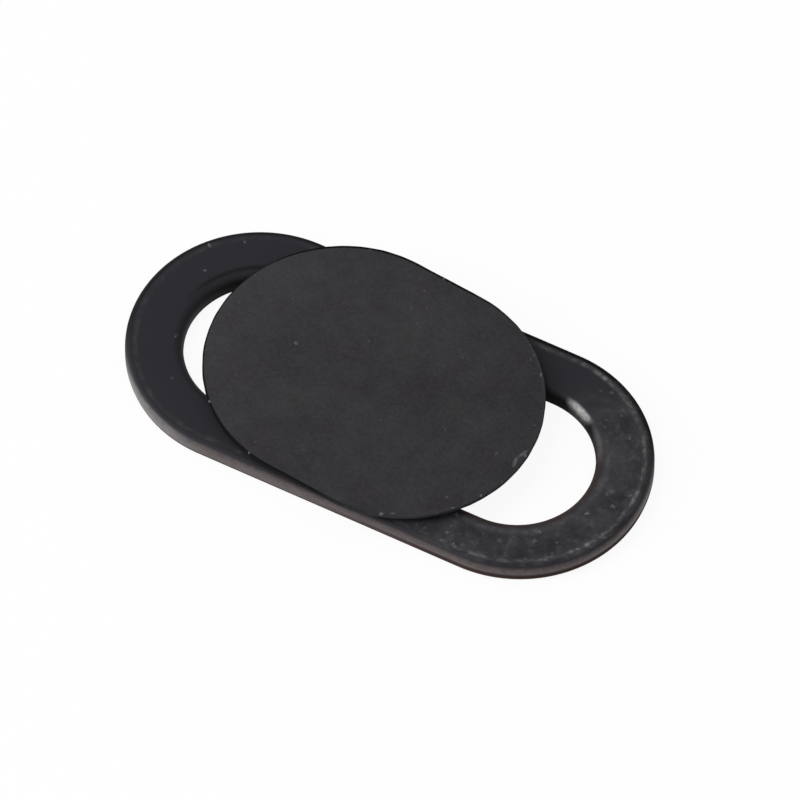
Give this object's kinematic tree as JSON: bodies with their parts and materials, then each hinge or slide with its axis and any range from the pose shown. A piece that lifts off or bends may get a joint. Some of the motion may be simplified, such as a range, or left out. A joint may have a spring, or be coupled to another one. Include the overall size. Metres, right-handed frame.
{
  "type": "webcam cover slider",
  "caption": "Thin stadium-shaped stick-on ring with a slot, and a flat rounded shutter plate that slides along it to cover or clear a webcam lens.",
  "frame": {"origin": "centre of the adhesive face, on the plane that sticks to the screen, in the middle of the ring", "axes": "+X along the slide and the ring's long axis, +Z away from the screen, +Y across the ring"},
  "size_m": [0.0188, 0.0096, 0.001],
  "materials": {
    "frame": "smooth moulded black plastic, dusty and worn at the edges",
    "adhesive": "dark brown double-sided tape",
    "plate": "fine-grained matte charcoal plastic with scuffed edges",
    "shoe": "plain moulded black plastic"
  },
  "bodies": {
    "base": {"frame": "frame", "adhesive_ring": "adhesive"},
    "slider": {"cover_plate": "plate", "slide_shoe": "shoe"}
  },
  "joints": [
    {"name": "cover_slide", "type": "slide", "parent": "base", "child": "slider", "axis": [1, 0, 0], "range_m": [-0.00278, 0.00412]}
  ]
}
